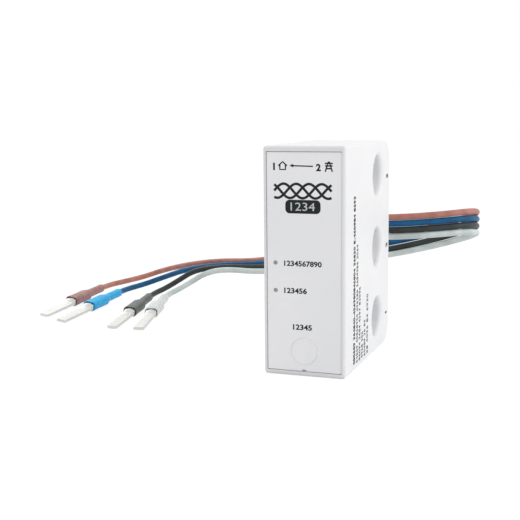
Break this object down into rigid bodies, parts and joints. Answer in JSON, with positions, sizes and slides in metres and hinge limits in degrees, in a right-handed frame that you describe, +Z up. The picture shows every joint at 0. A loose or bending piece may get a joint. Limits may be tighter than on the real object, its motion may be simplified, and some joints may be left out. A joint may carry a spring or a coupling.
{
  "type": "energy meter",
  "caption": "Slim box-shaped electrical energy meter with round conductor tunnels through its sides, a front plate with push button and lamps, and free leads ending in blade terminals.",
  "frame": {"origin": "middle of the housing's footprint, on the surface that it stands on, without the free leads", "axes": "+Z up along the housing height, +X across its thin width along the conductor tunnels, +Y from the front label plate to the rear wall"},
  "size_m": [0.1274, 0.0944, 0.053],
  "materials": {
    "housing_white": "moulded, fine satin",
    "label_plate": "printed film on moulded plate",
    "button_plastic": "moulded, satin",
    "light_guide": "polished",
    "lamp_white": "moulded",
    "board_laminate": "solder mask",
    "black_plastic": "moulded",
    "tinned_metal": "tin plated",
    "steel_can": "drawn sheet",
    "film_box": "moulded box",
    "capacitor_sleeve": "shrunk sleeve",
    "varistor_blue": "dipped",
    "resistor_coat": "dipped",
    "core_alloy": "wound strip",
    "copper": "enamelled wire",
    "lead_brown": "soft insulation",
    "lead_blue": "soft insulation",
    "lead_black": "soft insulation",
    "lead_grey": "soft insulation",
    "sleeve_brown": "soft moulded sleeve",
    "sleeve_blue": "soft moulded sleeve",
    "sleeve_black": "soft moulded sleeve",
    "sleeve_grey": "soft moulded sleeve"
  },
  "bodies": {
    "enclosure": {"housing_body": "housing_white", "side_cover": "housing_white", "front_panel": "label_plate", "switch_case": "black_plastic", "light_pipe_1": "light_guide", "light_pipe_2": "light_guide", "status_lamp_1": "lamp_white", "status_lamp_2": "lamp_white", "display_board": "board_laminate", "main_board": "board_laminate", "header_block": "black_plastic", "header_pins": "tinned_metal", "ct_leads": "tinned_metal", "metering_chip": "black_plastic", "crystal": "steel_can", "radio_board": "board_laminate", "radio_shield": "steel_can", "film_capacitor": "film_box", "smoothing_capacitors": "capacitor_sleeve", "varistors": "varistor_blue", "fuse_resistors": "resistor_coat", "wire_comb": "housing_white", "wire_tails": "copper", "ct_core_1": "core_alloy", "ct_winding_1": "copper", "ct_core_2": "core_alloy", "ct_winding_2": "copper", "ct_core_3": "core_alloy", "ct_winding_3": "copper", "lead_brown": "lead_brown", "sleeve_brown": "sleeve_brown", "terminal_brown": "tinned_metal", "lead_blue": "lead_blue", "sleeve_blue": "sleeve_blue", "terminal_blue": "tinned_metal", "lead_black": "lead_black", "sleeve_black": "sleeve_black", "terminal_black": "tinned_metal", "lead_grey": "lead_grey", "sleeve_grey": "sleeve_grey", "terminal_grey": "tinned_metal"},
    "button": {"reset_button": "button_plastic", "switch_plunger": "black_plastic"}
  },
  "joints": [
    {"name": "reset_press", "type": "slide", "parent": "enclosure", "child": "button", "axis": [0, 1, 0], "range_m": [0, 0.00035], "stiffness_N_per_m": 500}
  ]
}
